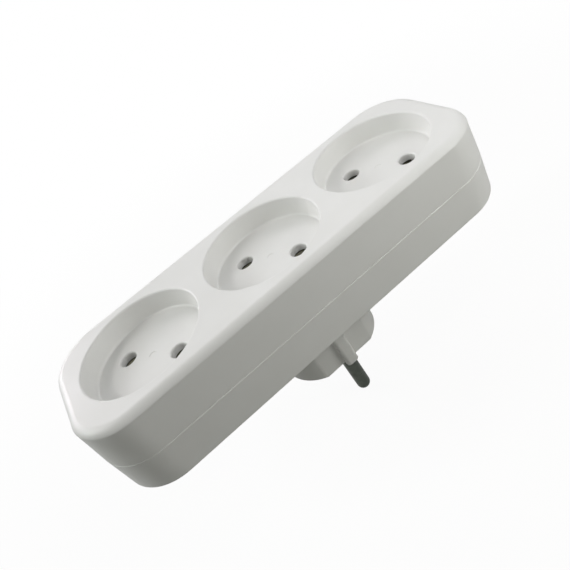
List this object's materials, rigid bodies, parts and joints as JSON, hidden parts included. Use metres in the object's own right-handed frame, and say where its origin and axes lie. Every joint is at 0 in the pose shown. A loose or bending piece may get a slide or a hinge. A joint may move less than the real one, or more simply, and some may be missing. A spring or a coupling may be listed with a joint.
{
  "type": "plug-in socket adapter",
  "caption": "Plug-in mains adapter: a long rounded box with a row of round two-pin socket recesses on its face and a round plug base with straight pins underneath.",
  "frame": {"origin": "middle of the plug face, between the two pins", "axes": "+Z out of the plug base towards the socket face, +X along the long body, +Y along the line of the two plug pins"},
  "size_m": [0.1436, 0.0514, 0.067],
  "materials": {
    "shell_plastic": "satin moulded, white",
    "pin_metal": "nickel plated, dulled",
    "strip_brass": "rolled sheet",
    "contact_bronze": "pressed spring sheet",
    "spring_steel": "hardened strip",
    "rivet_brass": "turned",
    "screw_steel": "zinc plated"
  },
  "bodies": {
    "root": {"top_shell": "shell_plastic", "base_shell": "shell_plastic", "plug_pin_a": "pin_metal", "plug_pin_b": "pin_metal", "bus_strip_a": "strip_brass", "bus_strip_b": "strip_brass", "contact_rivets": "rivet_brass", "housing_screws": "screw_steel", "contact_1a": "contact_bronze", "contact_spring_1a": "spring_steel", "contact_1b": "contact_bronze", "contact_spring_1b": "spring_steel", "contact_2a": "contact_bronze", "contact_spring_2a": "spring_steel", "contact_2b": "contact_bronze", "contact_spring_2b": "spring_steel", "contact_3a": "contact_bronze", "contact_spring_3a": "spring_steel", "contact_3b": "contact_bronze", "contact_spring_3b": "spring_steel"}
  },
  "joints": []
}
